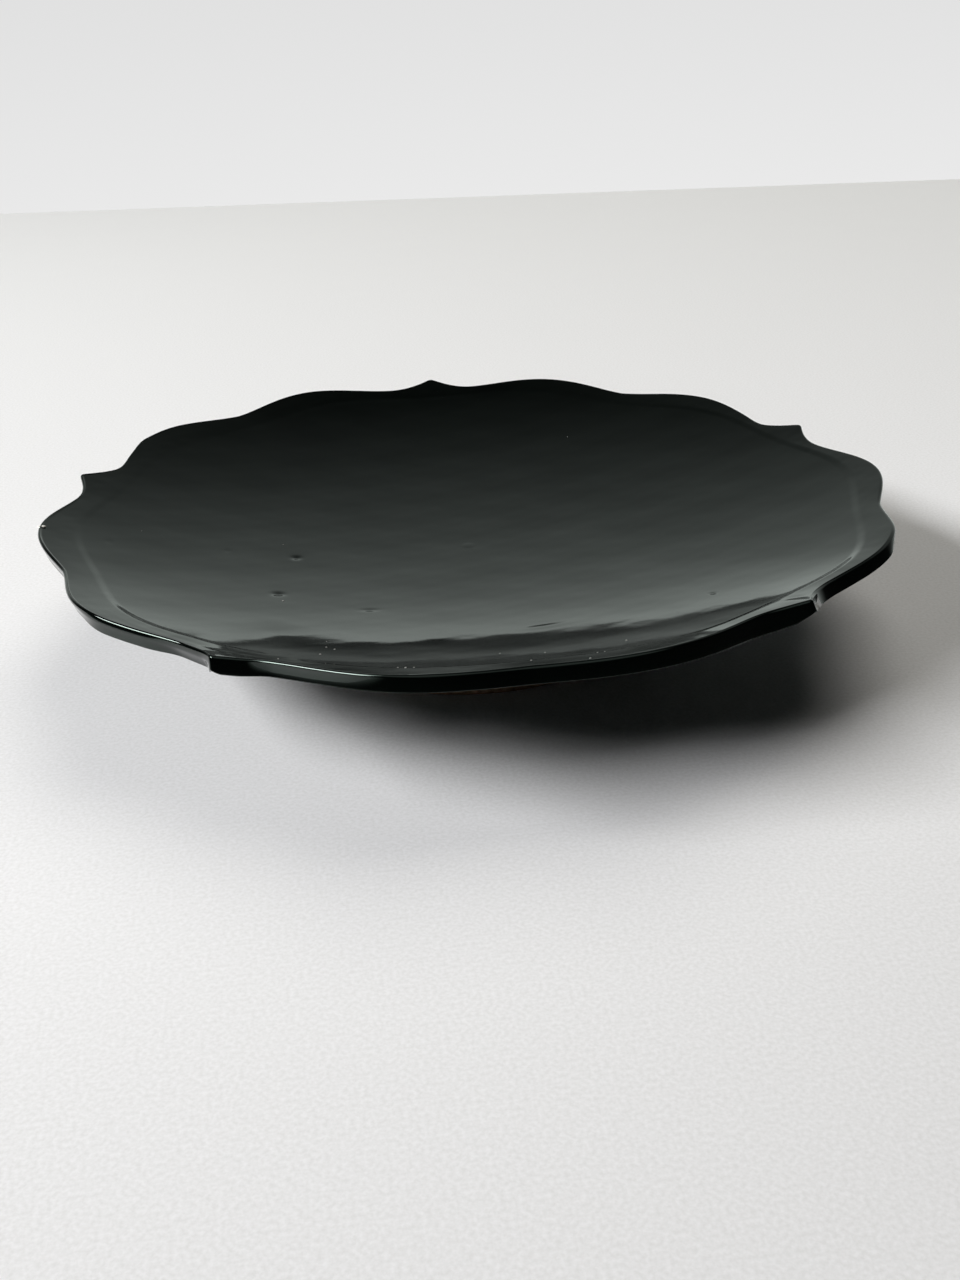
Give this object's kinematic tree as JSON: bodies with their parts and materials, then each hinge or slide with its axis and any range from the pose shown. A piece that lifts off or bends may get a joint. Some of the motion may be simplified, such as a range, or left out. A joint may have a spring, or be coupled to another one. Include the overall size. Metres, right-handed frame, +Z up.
{
  "type": "lobed plate",
  "caption": "Shallow lobed serving plate with a pointed, scalloped rim, narrow flange, round well and bare-edged foot ring, in stoneware with a black gloss glaze.",
  "frame": {"origin": "centre of the foot ring, on the plane that the plate rests on", "axes": "+Z up along the plate's axis, +Y through one cusp of the rim, +X completing a right-handed frame"},
  "size_m": [0.1796, 0.1778, 0.0309],
  "materials": {
    "stoneware": "matte",
    "black_glaze": "gloss"
  },
  "bodies": {
    "root": {"dish_body": "stoneware", "foot_ring": "stoneware", "glaze_coat": "black_glaze", "foot_well_glaze": "black_glaze"}
  },
  "joints": []
}
